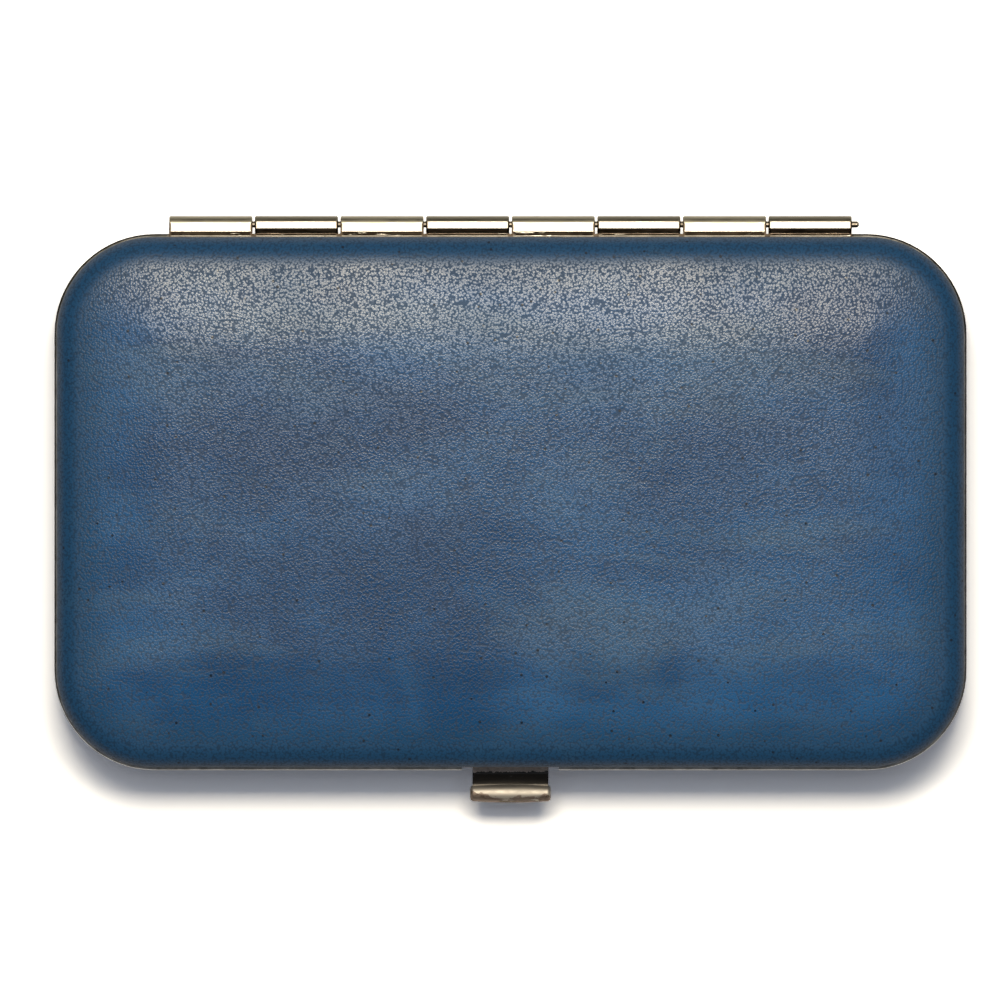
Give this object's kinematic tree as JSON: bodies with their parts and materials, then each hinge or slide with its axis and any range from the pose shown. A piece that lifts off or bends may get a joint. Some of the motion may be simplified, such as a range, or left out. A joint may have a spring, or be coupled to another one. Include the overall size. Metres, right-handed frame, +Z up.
{
  "type": "manicure set case",
  "caption": "Hinged hard case for manicure tools: two leather-covered halves in plated rim frames, knuckle hinge, sprung push catch, moulded tool tray and looped lid band.",
  "frame": {"origin": "middle of the flat underside of the base half, where the shut case rests", "axes": "+X along the hinge, to the right as seen from above with the catch nearest; -Y from the case towards the catch; +Z up through the lid"},
  "size_m": [0.114, 0.0733, 0.02],
  "materials": {
    "leather": "aniline-dyed smooth leather with a fine pebble grain, semi-matt",
    "foam": "thin open foam sheet",
    "shell_steel": "pressed sheet, lacquered",
    "nickel": "polished nickel plate",
    "pin_steel": "drawn wire",
    "spring_steel": "spring strip",
    "flock": "moulded and flocked",
    "board": "grey board",
    "velour": "short-pile velour",
    "elastic": "woven elastic"
  },
  "bodies": {
    "base": {"base_leather": "leather", "base_padding": "foam", "base_shell": "shell_steel", "base_frame": "nickel", "base_hinge_leaf": "nickel", "base_hinge_rivets": "nickel", "hinge_pin": "pin_steel", "tool_tray": "flock", "catch_bracket": "nickel", "catch_bracket_rivets": "nickel", "catch_spring": "spring_steel"},
    "lid": {"lid_leather": "leather", "lid_padding": "foam", "lid_shell": "shell_steel", "lid_frame": "nickel", "lid_hinge_leaf": "nickel", "lid_hinge_rivets": "nickel", "lid_insert_board": "board", "lid_lining": "velour", "tool_band": "elastic", "strike_plate": "nickel", "strike_plate_rivets": "nickel"},
    "catch": {"catch_lever": "nickel"}
  },
  "joints": [
    {"name": "lid_hinge", "type": "hinge", "parent": "base", "child": "lid", "pos_m": [0, 0.0347, 0.01], "axis": [-1, 0, 0], "range_deg": [0, 180]},
    {"name": "catch_slide", "type": "slide", "parent": "base", "child": "catch", "axis": [0, 1, 0], "range_m": [0, 0.0009], "stiffness_N_per_m": 400, "springref_m": -0.001, "deforming": ["catch_spring"]}
  ]
}
